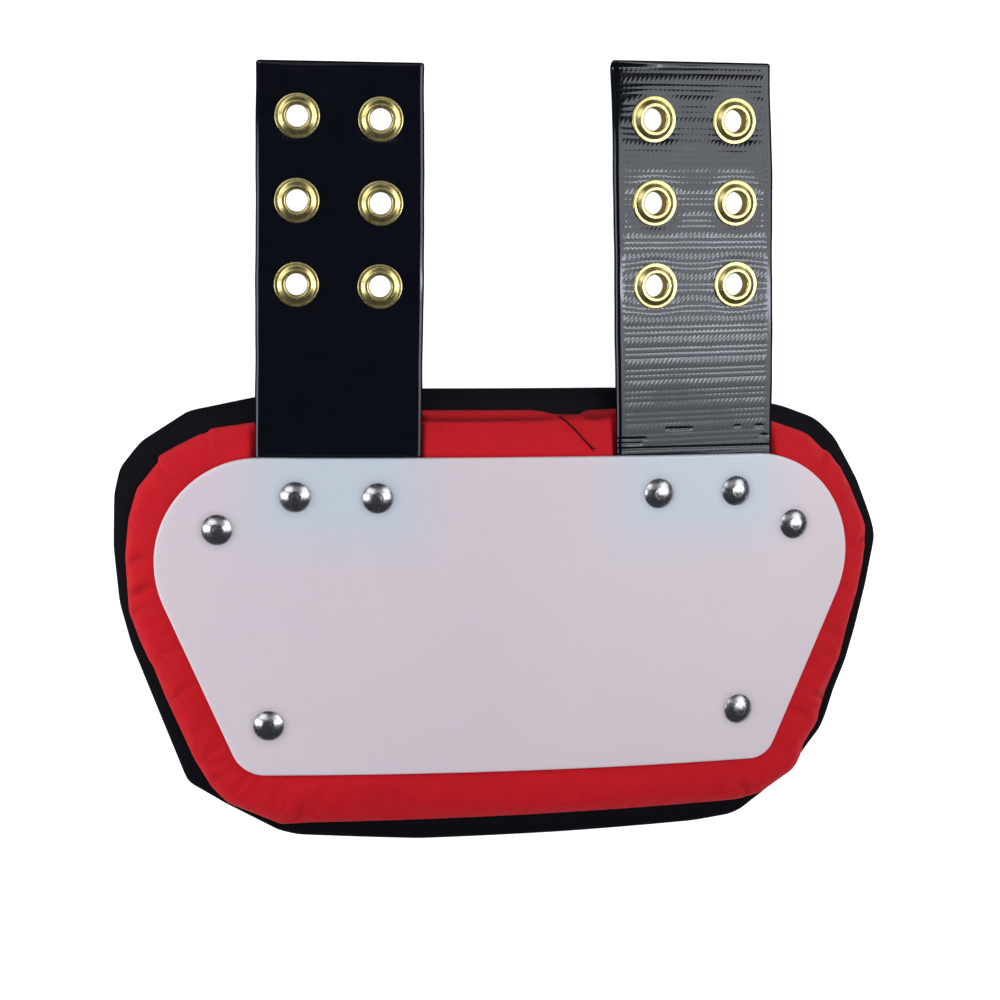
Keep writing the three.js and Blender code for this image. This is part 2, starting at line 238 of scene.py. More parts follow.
# %% Rings to a mesh
def ring_shell(rows, first_pole, last_pole):
    """Points and faces of a closed body: rings of points, with a pole at each end."""
    columns = len(rows[0])
    points = np.vstack([np.array(first_pole)[None], *rows, np.array(last_pole)[None]])
    last, start = len(points) - 1, len(points) - 1 - columns
    pairs = [(c, (c + 1) % columns) for c in range(columns)]
    faces = [(a + c, a + d, a + columns + d, a + columns + c) for a in range(1, start, columns) for c, d in pairs]
    faces += [(0, 1 + d, 1 + c) for c, d in pairs]
    return points, faces + [(last, start + c, start + d) for c, d in pairs]


def turn_outwards(mesh):
    """Turns all faces of a closed mesh outwards."""
    work = bmesh.new()
    work.from_mesh(mesh)
    bmesh.ops.recalc_face_normals(work, faces=work.faces)
    if work.calc_volume(signed=True) < 0:
        bmesh.ops.reverse_faces(work, faces=work.faces)
    work.to_mesh(mesh)
    work.free()


def mesh_piece(name, points, faces):
    """An object at the origin whose mesh has these points and faces, smooth and facing outwards."""
    mesh = bpy.data.meshes.new(name)
    mesh.from_pydata([tuple(p) for p in points], [], faces)
    mesh.validate()
    mesh.shade_smooth()
    turn_outwards(mesh)
    return linked(name, mesh)


def bent_piece(name, rows):
    """A closed body round the middle of the back, from rows of flat places, each with its lift."""
    poles = [on_back(0, 0, np.mean(lift)) for _, lift in (rows[0], rows[-1])]
    return mesh_piece(name, *ring_shell([on_back(row[:, 0], row[:, 1], lift) for row, lift in rows], *poles))


print("rings can be made into meshes")


# %% Read, move and mark the points of a piece
def points_of(piece):
    """The places of a piece's points."""
    return np.array([v.co for v in piece.data.vertices])


def set_points(piece, points):
    """Moves a piece's points to new places."""
    piece.data.vertices.foreach_set("co", points.astype(np.float32).ravel())
    piece.data.update()


def mark_points(piece, name, values):
    """Gives each point of a piece a value that its finish can read."""
    mark = piece.data.attributes.new(name, "FLOAT", "POINT")
    mark.data.foreach_set("value", values.astype(np.float32).ravel())


def wear(piece, material, slot, *nodes):
    """Gives a finished piece its material, hangs it on the root body, and hides the solids that it stands for."""
    piece.data.materials.clear()
    piece.data.materials.append(material)
    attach(piece, "root")
    if nodes:
        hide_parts(*nodes)
    triangles = sum(len(p.vertices) - 2 for p in piece.data.polygons)
    print(piece.name, "triangles", triangles, "stands for", len(nodes), "solids")


def ease(value, start, end):
    """0 before start and 1 past end, with a smooth step between them. Start may be the larger."""
    t = np.clip((value - start) / (end - start), 0, 1)
    return t * t * (3 - 2 * t)


print("halfway, an ease is", float(ease(0.5, 0, 1)))

# %% [markdown]
# ## Outlines
# A sewn edge isn't a smooth curve: it runs nearly straight from one turning point to the next, because
# the cloth was cut with scissors and turned inside out. So each cloth outline is a list of turning points
# read off the photograph, walked in even steps and softened a little. The plate's outline is a
# trapezium with round corners.

# %% Walk an outline
def even_walk(turns, step):
    """Points in even steps along the closed line through the turning points."""
    closed = np.vstack([turns, turns[:1]])
    along = np.concatenate([[0], np.cumsum(np.linalg.norm(np.diff(closed, axis=0), axis=1))])
    stops = np.linspace(0, along[-1], int(along[-1] / step), endpoint=False)
    return np.stack([np.interp(stops, along, closed[:, k]) for k in (0, 1)], -1)


def softened(ring, reach, step):
    """A ring of values averaged over a bell curve of that reach."""
    side = int(3 * reach / step)
    bell = np.exp(-0.5 * (np.arange(-side, side + 1) * step / reach) ** 2)
    wrapped = np.vstack([ring[-side:], ring, ring[:side]])
    return np.stack([np.convolve(wrapped[:, k], bell / bell.sum(), "valid") for k in range(ring.shape[1])], -1)


def outward(ring, reach, step):
    """Unit directions out of an outline that is walked anticlockwise, evened over a reach."""
    ahead = np.roll(ring, -1, 0) - np.roll(ring, 1, 0)
    out = softened(np.stack([ahead[:, 1], -ahead[:, 0]], -1), reach, step)
    return out / np.linalg.norm(out, axis=1, keepdims=True)


def rounded(corners, steps=25):
    """Turning points of an outline whose corners, given as s, y and radius, are arcs."""
    turns = []
    for k, (_, _, radius) in enumerate(corners):
        here, before, after = (np.array(corners[(k + d) % len(corners)][:2], float) for d in (0, -1, 1))
        back, on = ((end - here) / np.linalg.norm(end - here) for end in (before, after))
        half = math.acos(np.clip(back @ on, -1, 1)) / 2
        middle = here + (back + on) / np.linalg.norm(back + on) * radius / math.sin(half)
        start = math.atan2(*(here + back * radius / math.tan(half) - middle)[::-1])
        for angle in start + np.linspace(0, 1, steps) * (math.pi - 2 * half):
            turns.append(middle + radius * np.array([math.cos(angle), math.sin(angle)]))
    return np.array(turns)


PLATE_CORNERS = [(133, 50.6, 33.6), (-133, 50.6, 33.6), (-87.0, -51.4, 11.0), (87.3, -51.4, 9.0)]
PLATE_STEP = 1.5
plate_outline = even_walk(rounded(PLATE_CORNERS), PLATE_STEP)
print("plate outline:", len(plate_outline), "points, mm", plate_outline.min(0).round(1), plate_outline.max(0).round(1))

# %% [markdown]
# ## The plate
# The plate is polyethylene sheet, about 3 mm thick, cut out and bent round the back, with a sawn edge that
# was eased with a scraper. It could be a solid with a bevel, but rings of points give the rounded edge
# and also a fine enough face to carry painted shade: where the dark strap ends lie behind the sheet,
# a darker, cooler tint is painted on it, as they show through the real plate.

# %% Plate mesh
PLATE_THICKNESS, PLATE_EDGE = 3.2, 0.8
plate_out = outward(plate_outline, 1.6, PLATE_STEP)
edge_rows = []
for angle in np.radians(np.linspace(90, -90, 11)):
    middle = -PLATE_EDGE if angle > 0 else PLATE_EDGE - PLATE_THICKNESS
    inset = PLATE_EDGE * (1 - math.cos(angle))
    edge_rows.append((plate_outline - plate_out * inset, middle + PLATE_EDGE * math.sin(angle)))
flat_face = edge_rows[0][0]
plate_rows = [(flat_face * share, 0.0) for share in np.linspace(0.012, 1, 76)[:-1]] + edge_rows
plate_rows += [(flat_face * share, -PLATE_THICKNESS) for share in np.linspace(1, 0.05, 12)[1:]]
plate = bent_piece("plate_dressed", plate_rows)
print("plate points:", len(plate.data.vertices))

# %% Painted shade where the straps show through the plate
# Each strap has a middle line, a lean in degrees and a reach above the plate. A rivet has its flat place.
STRAPS = {"left": (-56.6, -0.4, 123.3), "right": (61.2, 1.9, 124.6)}
STRAP_HALF, STRAP_TUCK, PLATE_TOP = 26.0, 26.0, 50.8
RIVETS = {
    "left_corner": (-94.5, 27.9), "left_strap_outer": (-70.0, 38.4), "left_strap_inner": (-44.0, 38.0),
    "left_bottom": (-78.5, -35.0), "right_corner": (94.8, 27.0), "right_strap_outer": (73.8, 38.6),
    "right_strap_inner": (47.2, 38.4), "right_bottom": (76.4, -34.0),
}


def across_strap(side, s, y):
    """Distance from a strap's middle line, and height along it from the plate's top edge."""
    centre, lean, _ = STRAPS[side]
    c, d = math.cos(math.radians(lean)), math.sin(math.radians(lean))
    return (s - centre) * c + (y - PLATE_TOP) * d, (y - PLATE_TOP) * c - (s - centre) * d


def flat_places(rows):
    """The flat place of every point of a bent piece, from its first pole to its last."""
    return np.vstack([[[0, 0]], *[row for row, _ in rows], [[0, 0]]])


# How strongly each point of the plate gets the painted strap shade.
behind = 0.0
for side in STRAPS:
    away, height = across_strap(side, *flat_places(plate_rows).T)
    over_end = ease(height, -STRAP_TUCK - 12, -STRAP_TUCK + 10)
    behind = behind + ease(abs(away), STRAP_HALF + 13, STRAP_HALF - 11) * over_end
mark_points(plate, "strap_behind", behind)
print("points over a strap:", int((behind > 0.5).sum()))

# %% [markdown]
# ## Polyethylene
# Milky high-density polyethylene lets light in a few millimetres and scatters it, so it looks soft and
# has no hard shadows of its own. The sheet's satin skin comes from the rollers. Over the strap ends
# a cooler, darker tint is painted, the shade of the dark straps behind the sheet, and a faint grey ring
# of painted shade lies round each rivet.

# %% Plate finish
# Scattering of 2 to 3 mm gives the waxy look, and a broad soft highlight the satin skin.
polyethylene, tree, shader, place = finish("milky_polyethylene_sheet", {
    "Roughness": 0.46, "IOR": 1.52, "Subsurface Weight": 0.35, "Subsurface Radius": (1.0, 0.8, 0.85),
    "Subsurface Scale": 0.0022,
})
# Painted shade: a grey ring darkens the plate round each rivet, strongest at its edge.
HALO_START, HALO_END, HALO_DEPTH = 0.0046, 0.0082, 0.34
nearest = 1.0
for s, y in RIVETS.values():
    rivet = tuple(on_back(s, y, 0))
    gap = node(tree, "ShaderNodeVectorMath", {0: place, 1: rivet}, "Value", operation="DISTANCE")
    nearest = node(tree, "ShaderNodeMath", {0: gap, 1: nearest}, operation="MINIMUM")
near = node(tree, "ShaderNodeMapRange", {0: nearest, 1: HALO_START, 2: HALO_END, 3: 1.0, 4: 0.0})
painted_rivet_shade = node(tree, "ShaderNodeMath", {0: near, 1: 2.6}, operation="POWER")
shade = node(tree, "ShaderNodeMath", {0: painted_rivet_shade, 1: HALO_DEPTH}, operation="MULTIPLY")
_, milk = mottled(tree, place, 60.0, "#E2D8E4", "#E9DEE6", Detail=3.0)
# Painted shade: over the strap ends the plate's colour is mixed towards a cooler, darker grey-blue.
strap_shade_mark = node(tree, "ShaderNodeAttribute", out="Fac", attribute_name="strap_behind")
strap_shaded = node(tree, "ShaderNodeMix", {0: strap_shade_mark, 6: milk, 7: colour("#D6DFEC")}, 2, data_type="RGBA")
rivet_shaded = node(tree, "ShaderNodeMix", {0: shade, 6: strap_shaded, 7: colour("#6A6672")}, 2, data_type="RGBA")
# The rollers leave an orange-peel of about 0.7 mm that only shows in the highlight.
peel = node(tree, "ShaderNodeTexNoise", {"Vector": place, "Scale": 1 / 0.0007, "Detail": 2.0}, "Fac")
skin = node(tree, "ShaderNodeBump", {"Height": peel, "Strength": 0.25, "Distance": 0.00003})
node(tree, shader, {"Base Color": rivet_shaded, "Normal": skin})
wear(plate, polyethylene, "polyethylene", "plate")

# %% [markdown]
# ## The straps
# Each strap is 2 in nylon webbing dipped in black vinyl. The coat is as glossy as a boot, but the weave
# under it still shows. The grommets were pressed in hard enough to dent it, and the right strap is folded
# where it meets the plate. A displaced grid can't have holes, so the strap is a lattice of points
# whose cells inside each grommet are left out, with walls between the front and the back.

# %% Strap lattice
STRAP_THICKNESS, STRAP_ROUND, STRAP_SHOULDER, STRAP_LIFT = 3.0, 1.35, 1.5, -4.063
FACE_POINTS, EDGE_POINTS = 67, 11
strap_frames = {
    side: standing(centre, PLATE_TOP, STRAP_LIFT) @ Matrix.Rotation(math.radians(lean), 4, "Z")
    for side, (centre, lean, _) in STRAPS.items()
}


def laid(side, x, y):
    """Where a place on a strap lies: each strap was cut and set a little out of true."""
    right_part, tip = ease(x, 0, 26), ease(y, 110, 123)
    if side == "left":
        # Below the tip its right half is 0.6 mm wider, and its rows drop towards the right.
        skewed = y - (0.5 + 0.023 * x) * np.clip(y / 106, 0, 2) + 0.03 * x * tip
        return x + 0.6 * right_part * ease(y, 118, 70), skewed
    # It is 4 % wider, narrows at the tip and at the plate, and its rows drop towards the right.
    narrowed = right_part * (0.8 * ease(y, 90, 124) + 0.2 * ease(y, 22, 0))
    skewed = y + (0.6 - 0.034 * x) * np.clip(y / 110, 0, 2) + (0.0115 * x - 0.3) * tip
    return 1.04 * x + 0.2 + 0.0036 * y - narrowed, skewed


def strap_rows(reach):
    """Heights of the lattice's rows: even, and closer together at the two ends and at the folds."""
    ends = np.array([0, 0.06, 0.2, 0.42, 0.75, 1.2, 1.8, 2.5])
    low, folds = np.arange(-STRAP_TUCK + 3, 0.2, 0.55), np.arange(0.4, 10.6, 0.2)
    high = np.arange(10.9, reach - 2.7, 0.55)
    return np.concatenate([-STRAP_TUCK + ends, low, folds, high, reach - ends[::-1]])


def strap_section():
    """Places round the webbing's cross-section as x, z, and which side: 1 front, -1 back, 0 edge."""
    half, top = STRAP_HALF - STRAP_SHOULDER, STRAP_THICKNESS / 2
    flat_x = np.linspace(-half, half, FACE_POINTS)
    turn = np.radians(np.linspace(90, 0, EDGE_POINTS // 2 + 1)[1:])
    arc_x, arc_z = half + STRAP_SHOULDER * np.cos(turn), top - STRAP_ROUND + STRAP_ROUND * np.sin(turn)
    edge_x = np.concatenate([arc_x, [STRAP_HALF], arc_x[::-1]])
    edge_z = np.concatenate([arc_z, [0.0], -arc_z[::-1]])
    x = np.concatenate([flat_x, edge_x, flat_x[::-1], -edge_x[::-1]])
    z = np.concatenate([np.full(FACE_POINTS, top), edge_z, np.full(FACE_POINTS, -top), edge_z[::-1]])
    return x, z, np.repeat([1, 0, -1, 0], [FACE_POINTS, EDGE_POINTS, FACE_POINTS, EDGE_POINTS])


print("rows:", len(strap_rows(STRAPS["left"][2])), "points round:", len(strap_section()[0]))

# %% Strap relief
GROMMET_COLUMNS = {"left": (-13.2, 12.55), "right": (-13.2, 13.2)}
GROMMET_ROWS, HOLE_RADIUS, DENT_RADIUS, DENT_DEPTH = (54.0, 80.0, 106.0), 5.0, 7.9, 0.3
# The right strap's folds: where each starts and ends across the strap, and its height at the middle line.
RIGHT_FOLDS = [
    (-27, 27, 1.85), (-10, -1.7, 8.0), (13, 14.6, 8.4), (20, 22.2, 8.45), (21.8, 24, 5.2), (-26, -17, 5.0),
    (-26, -18, 3.6),
]
FOLD_DEPTH, FOLD_WIDTH, FOLD_TILT = 0.17, 0.5, -0.028
WAVE_HEIGHT, CURL, SIDE_ROLL = 0.10, 0.95, 0.5


def strap_relief(side, x, y, reach):
    """How far the front face stands out, in mm: slow waves, dents by the grommets, and folds that are
    sharp enough to mirror the dark room."""
    out = WAVE_HEIGHT * np.sin(x / 9 + y / 23 + 0.7) * np.sin(y / 31 + 0.4)
    for column in GROMMET_COLUMNS[side]:
        for row in GROMMET_ROWS:
            out -= DENT_DEPTH * np.exp(-((((x - column) ** 2 + (y - row) ** 2) / DENT_RADIUS**2) ** 2))
    if side == "right":
        # Its upper left corner curls back, and its right edge rolls down where it nears the plate.
        corner = np.clip((-x - 7 + 0.5 * (y - reach + 18)) / 21, 0, 2) * ease(y, reach - 42, reach - 6)
        out -= CURL * corner**2 + SIDE_ROLL * ease(x, 24.5, 26) * ease(y, 26, 6)
        for start, end, height in RIGHT_FOLDS:
            part = ease(x, start - 0.6, start + 0.6) * ease(x, end + 0.6, end - 0.6)
            out -= FOLD_DEPTH * part * np.exp(-(((y - height - FOLD_TILT * x) / FOLD_WIDTH) ** 2))
    return out


sample = strap_relief("left", np.zeros(200), np.linspace(20, 40, 200), STRAPS["left"][2])
print("relief of the left strap between", sample.min().round(3), "and", sample.max().round(3), "mm")

# %% Strap points
END_ROUND, END_THICKNESS = 0.9, 0.15
EDGE_PHASE = {"left": 0.3, "right": 2.1}


def strap_points(side):
    """One strap laid flat, as rows of points with rounded edges, corners and ends."""
    reach = STRAPS[side][2]
    x0, z0, face_of = strap_section()
    rows = []
    for y in strap_rows(reach):
        end = min(y + STRAP_TUCK, reach - y)
        short = max(0.0, END_ROUND - end)
        thin = math.sqrt(1 - (short / END_ROUND) ** 2) * (1 - END_THICKNESS) + END_THICKNESS
        corner = END_ROUND - math.sqrt(END_ROUND**2 - short**2)
        sway = 0.07 * math.sin(y / 7.1 + EDGE_PHASE[side]) + 0.03 * math.sin(y / 2.7)
        x = x0 * (1 - corner / STRAP_HALF) + sway * np.sign(x0) * (abs(x0) / STRAP_HALF) ** 8
        rise = strap_relief(side, x, np.full(len(x), y), reach) * ease(end, 0.2, 2.4)
        z = z0 * thin - STRAP_THICKNESS / 2 + np.where(face_of < 0, np.minimum(rise, 0.0) * 0.5, rise)
        rows.append(np.stack([x, np.full(len(x), y), z], -1))
    return np.array(rows)


print("left strap's points:", strap_points("left").shape)


# %% Strap mesh
def strap_faces(side, heights):
    """Faces of the lattice. Its cells inside each grommet are left out, and walls join front and back there."""
    x = strap_section()[0]
    columns, last = len(x), 2 * FACE_POINTS + EDGE_POINTS - 1
    mid_x, mid_y = (x[: FACE_POINTS - 1] + x[1:FACE_POINTS]) / 2, (heights[:-1] + heights[1:]) / 2
    hole = np.zeros((len(mid_y), columns), bool)
    for column in GROMMET_COLUMNS[side]:
        for row in GROMMET_ROWS:
            hole[:, : FACE_POINTS - 1] |= np.hypot(mid_x - column, mid_y[:, None] - row) < HOLE_RADIUS
    front_holes = np.argwhere(hole)
    hole[:, FACE_POINTS + EDGE_POINTS : last] = hole[:, FACE_POINTS - 2 :: -1]
    index = np.arange(len(heights) * columns).reshape(len(heights), columns)
    after = np.roll(index, -1, 1)
    faces = [(index[i, j], after[i, j], after[i + 1, j], index[i + 1, j]) for i, j in np.argwhere(~hole)]
    for i, j in front_holes:
        cell = ((i, j), (i, j + 1), (i + 1, j + 1), (i + 1, j))
        beside = ((i - 1, j), (i, j + 1), (i + 1, j), (i, j - 1))
        for k in range(4):
            if not hole[beside[k]]:
                (a, b), (c, d) = cell[k], cell[(k + 1) % 4]
                faces.append((index[a, b], index[c, d], index[c, last - d], index[a, last - b]))
    return faces + [tuple(index[0][::-1]), tuple(index[-1])]


strap_pieces = {}
for side in STRAPS:
    lattice = strap_points(side)
    flat = lattice.reshape(-1, 3)
    turned = np.array(strap_frames[side])
    lying = np.stack([*laid(side, flat[:, 0], flat[:, 1]), flat[:, 2]], -1)
    placed = lying / 1000 @ turned[:3, :3].T + turned[:3, 3]
    made = mesh_piece("strap_" + side + "_coated", placed, strap_faces(side, lattice[:, 0, 1]))
    weave = made.data.uv_layers.new(name="weave")
    corner_points = np.zeros(len(made.data.loops), np.int64)
    made.data.loops.foreach_get("vertex_index", corner_points)
    weave.data.foreach_set("uv", (flat[corner_points, :2] / 1000).astype(np.float32).ravel())
    work = bmesh.new()
    work.from_mesh(made.data)
    bmesh.ops.delete(work, geom=[v for v in work.verts if not v.link_faces], context="VERTS")
    open_edges = sum(1 for e in work.edges if len(e.link_faces) != 2)
    work.to_mesh(made.data)
    work.free()
    strap_pieces[side] = made
    print(made.name, "points", len(made.data.vertices), "open edges", open_edges)

# %% [markdown]
# ## Vinyl coat
# The dipped vinyl is nearly black and mirrors like still water, so its roughness is low. The weave under it
# has ribs about 3.4 mm apart, in turn one tall rib of slanting threads and two low ones. They are only a few
# hundredths of a millimetre high and too fine for the mesh, so they are drawn as a bump, at their real
# spacing, on a map that follows the strap. Handling has left a few dull scuffs.

# %% Strap finish
# A low roughness gives the clear mirror image of the softbox, broken up by the ribs.
vinyl, tree, shader, place = finish("black_vinyl_coated_webbing", {
    "IOR": 1.53, "Specular Tint": (0.86, 0.93, 1.0, 1.0),
})
scuff, black = mottled(tree, place, 12.0, "#05080F", "#0A0E17", Detail=4.0, Roughness=0.6)
gloss = node(tree, "ShaderNodeMapRange", {0: scuff, 1: 0.35, 2: 0.8, 3: 0.05, 4: 0.15})
node(tree, shader, {"Roughness": gloss, "Base Color": black})
print("vinyl nodes:", len(tree.nodes))

# %% Weave under the vinyl
RIB_PITCH, THREAD_PITCH, RIB_HEIGHT = 3.45, 1.44, 0.045
weave_map = node(tree, "ShaderNodeUVMap", uv_map="weave")
along = node(tree, "ShaderNodeSeparateXYZ", {0: weave_map}, None)
# Each sum has a name, a kind and its values, where the name of an earlier sum stands for its result.
# Threads slant on a tall rib and stand steeper on the low ones.
WEAVE_SUMS = [
    ("ribs_up", "MULTIPLY_ADD", along["Y"], 1000 / RIB_PITCH, 20.0),
    ("threads", "MULTIPLY", along["X"], 1000 / THREAD_PITCH),
    ("up_rib", "FRACT", "ribs_up"),
    ("which", "FLOOR", "ribs_up"),
    ("low_ribs", "MODULO", "which", 2.0),
    ("lumps", "ADD", "low_ribs", 1.0),
    ("swing", "MULTIPLY", "up_rib", "lumps"),
    ("half_turn", "MULTIPLY", "swing", math.pi),
    ("wave", "SINE", "half_turn"),
    ("lump", "ABSOLUTE", "wave"),
    ("rib", "DIVIDE", "lump", "lumps"),
    ("slant", "MULTIPLY_ADD", "low_ribs", 0.8, -1.05),
    ("slanting", "MULTIPLY_ADD", "up_rib", "slant", "threads"),
    ("full_turn", "MULTIPLY", "slanting", 2 * math.pi),
    ("thread", "SINE", "full_turn"),
    ("raised", "MULTIPLY_ADD", "thread", 0.35, 1.0),
    ("woven", "MULTIPLY", "rib", "raised"),
    ("from_middle", "ABSOLUTE", along["X"]),
]
sums = {}
for name, operation, *values in WEAVE_SUMS:
    inputs = {k: sums[v] if isinstance(v, str) else v for k, v in enumerate(values)}
    sums[name] = node(tree, "ShaderNodeMath", inputs, operation=operation)
# The strap's border is plain, and the pull of the loom varies.
inside = node(tree, "ShaderNodeMapRange", {0: sums["from_middle"], 1: 0.0226, 2: 0.0242, 3: 1.0, 4: 0.0})
pull = node(tree, "ShaderNodeMapRange", {0: scuff, 1: 0.3, 2: 0.7, 3: 0.7, 4: 1.3})
kept = node(tree, "ShaderNodeMath", {0: pull, 1: inside}, operation="MULTIPLY")
uneven = node(tree, "ShaderNodeMath", {0: sums["woven"], 1: kept}, operation="MULTIPLY")
ripple = node(tree, "ShaderNodeBump", {"Height": uneven, "Strength": 1.0, "Distance": RIB_HEIGHT / 1000})
node(tree, shader, {"Normal": ripple})
for side, made in strap_pieces.items():
    wear(made, vinyl, "coated_webbing", "strap_" + side)

# %% [markdown]
# ## Grommets
# A grommet is two pressed brass rings: the front one has a tube that goes through the strap and is rolled
# over a washer at the back. All twelve have one shape, a little smaller on the left strap, and stand on
# grids, so a Geometry Nodes tree sets copies of one turned ring on the points of a grid. The turned
# ring itself is a profile spun round its axis.

# %% Spin a profile
def spun(name, profile, steps):
    """A closed ring or knob: a profile of radius and height in mm, spun round Z."""
    work = bmesh.new()
    rings = []
    for angle in np.arange(steps) * 2 * math.pi / steps:
        aside, ahead = math.cos(angle) / 1000, math.sin(angle) / 1000
        rings.append([work.verts.new((r * aside, r * ahead, z / 1000)) for r, z in profile])
    count = len(profile)
    for step in range(steps):
        here, there = rings[step], rings[(step + 1) % steps]
        for k in range(count):
            work.faces.new((here[k], there[k], there[(k + 1) % count], here[(k + 1) % count]))
    bmesh.ops.remove_doubles(work, verts=work.verts, dist=1e-7)
    bmesh.ops.dissolve_degenerate(work, edges=work.edges, dist=1e-8)
    mesh = bpy.data.meshes.new(name)
    work.to_mesh(mesh)
    work.free()
    turn_outwards(mesh)
    mesh.shade_smooth()
    print(name, "has", len(mesh.polygons), "faces")
    return bpy.data.objects.new(name, mesh)


GROMMET_PROFILE = [
    (3.62, -3.2), (3.6, -2.4), (3.6, -1.2), (3.6, -0.3), (3.63, 0.25), (3.7, 0.65), (3.8, 0.9), (3.94, 1.06),
    (4.1, 1.13), (4.4, 1.16), (4.7, 1.17), (4.94, 1.15), (5.06, 1.08), (5.2, 0.98), (5.65, 0.71), (6.1, 0.44),
    (6.22, 0.38), (6.36, 0.35), (6.7, 0.345), (7.16, 0.335), (7.3, 0.27), (7.37, 0.15), (7.38, 0.05), (7.3, -0.06),
    (6.9, -0.2), (5.4, -0.3), (4.6, -0.4), (4.5, -2.7), (5.4, -3.02), (6.9, -3.05), (7.0, -3.2), (7.0, -3.55),
    (6.85, -3.78), (6.4, -3.8), (5.0, -3.8), (4.2, -3.72), (3.8, -3.5),
]
one_grommet = spun("one_grommet", GROMMET_PROFILE, 48)


# %% Begin and end a tree of copies
def tree_of_copies(name, **kinds):
    """A Geometry Nodes tree with a named input for each of its sizes, and the sockets that give them.
    In the names _ stands for a space."""
    made = bpy.data.node_groups.new(name, "GeometryNodeTree")
    made.interface.new_socket("Geometry", in_out="INPUT", socket_type="NodeSocketGeometry")
    for title, kind in kinds.items():
        made.interface.new_socket(title.replace("_", " "), in_out="INPUT", socket_type="NodeSocket" + kind)
    made.interface.new_socket("Geometry", in_out="OUTPUT", socket_type="NodeSocketGeometry")
    return made, node(made, "NodeGroupInput", out=None)


def end_with_copies(tree, points, shape, rotation, size, material):
    """Ends a tree with copies of a shape on points, made real and given their material."""
    solid = node(tree, "GeometryNodeObjectInfo", {"Object": shape}, "Geometry")
    copies = node(tree, "GeometryNodeInstanceOnPoints", {
        "Points": points, "Instance": solid, "Rotation": rotation, "Scale": size,
    })
    real = node(tree, "GeometryNodeRealizeInstances", {"Geometry": copies})
    dressed = node(tree, "GeometryNodeSetMaterial", {"Geometry": real, "Material": material})
    node(tree, "NodeGroupOutput", {"Geometry": dressed})
    print(tree.name, "has", len(tree.nodes), "nodes")


def plain_mesh(carrier, tree, values):
    """Runs a Geometry Nodes tree on a carrier with named values, and puts the result into it as a mesh."""
    step = carrier.modifiers.new("nodes", "NODES")
    step.node_group = tree
    for item in tree.interface.items_tree:
        if item.item_type == "SOCKET" and item.in_out == "INPUT" and item.name in values:
            step[item.identifier] = values[item.name]
    bpy.context.view_layer.update()
    made = bpy.data.meshes.new_from_object(carrier.evaluated_get(bpy.context.evaluated_depsgraph_get()))
    made.name = carrier.name
    carrier.modifiers.remove(step)
    carrier.data = made


print("trees of copies can be begun, ended and run")

# %% Set grommets on a grid
grommet_tree, given = tree_of_copies(
    "grommets_on_a_grid", Grommet="Object", Column_gap="Float", Row_gap="Float", Rows="Int", First_row="Float",
    Size="Float", Seed="Int", Brass="Material",
)
gaps = node(grommet_tree, "ShaderNodeMath", {0: given["Rows"], 1: 1.0}, operation="SUBTRACT")
tall = node(grommet_tree, "ShaderNodeMath", {0: gaps, 1: given["Row gap"]}, operation="MULTIPLY")
grid = node(grommet_tree, "GeometryNodeMeshGrid", {
    "Size X": given["Column gap"], "Size Y": tall, "Vertices X": 2, "Vertices Y": given["Rows"],
})
centre = node(grommet_tree, "ShaderNodeMath", {0: tall, 1: 0.5, 2: given["First row"]}, operation="MULTIPLY_ADD")
shift = node(grommet_tree, "ShaderNodeCombineXYZ", {"Y": centre})
moved = node(grommet_tree, "GeometryNodeTransform", {"Geometry": grid, "Translation": shift})
turns = {"Max": (0.0, 0.0, 6.283), "Seed": given["Seed"]}
any_turn = node(grommet_tree, "FunctionNodeRandomValue", turns, data_type="FLOAT_VECTOR")
end_with_copies(grommet_tree, moved, given["Grommet"], any_turn, given["Size"], given["Brass"])

# %% [markdown]
# ## Brass
# The rings are drawn from polished brass strip and lacquered. Fresh brass is a pale greenish yellow, and its
# bright parts are pictures of the softboxes. A faint stretch grain from the press breaks them up.

# %% Brass finish
# Polished metal shows sharp pictures of the lights, here blurred a little by the lacquer.
brass, tree, shader, place = finish("polished_brass", {})
smear, yellow = mottled(tree, place, 1.5, "#D9C77F", "#EADB9A", Detail=3.0)
polish = node(tree, "ShaderNodeMapRange", {0: smear, 1: 0.3, 2: 0.75, 3: 0.25, 4: 0.36})
# Inside the tube the brass was never polished, and a skin of tarnish makes it olive and matt.
bore = node(tree, "ShaderNodeAttribute", out="Fac", attribute_name="in_bore")
tarnished = node(tree, "ShaderNodeMix", {0: bore, 6: yellow, 7: colour("#9A8642")}, 2, data_type="RGBA")
bare = node(tree, "ShaderNodeMath", {0: bore, 1: -0.85, 2: 1.0}, operation="MULTIPLY_ADD")
stretch = node(tree, "ShaderNodeTexNoise", {"Vector": place, "Scale": 1 / 0.0004, "Detail": 2.0}, "Fac")
grainy = node(tree, "ShaderNodeBump", {"Height": stretch, "Strength": 0.35, "Distance": 0.00002})
node(tree, shader, {"Roughness": polish, "Base Color": tarnished, "Metallic": bare, "Normal": grainy})
print("brass nodes:", len(tree.nodes))

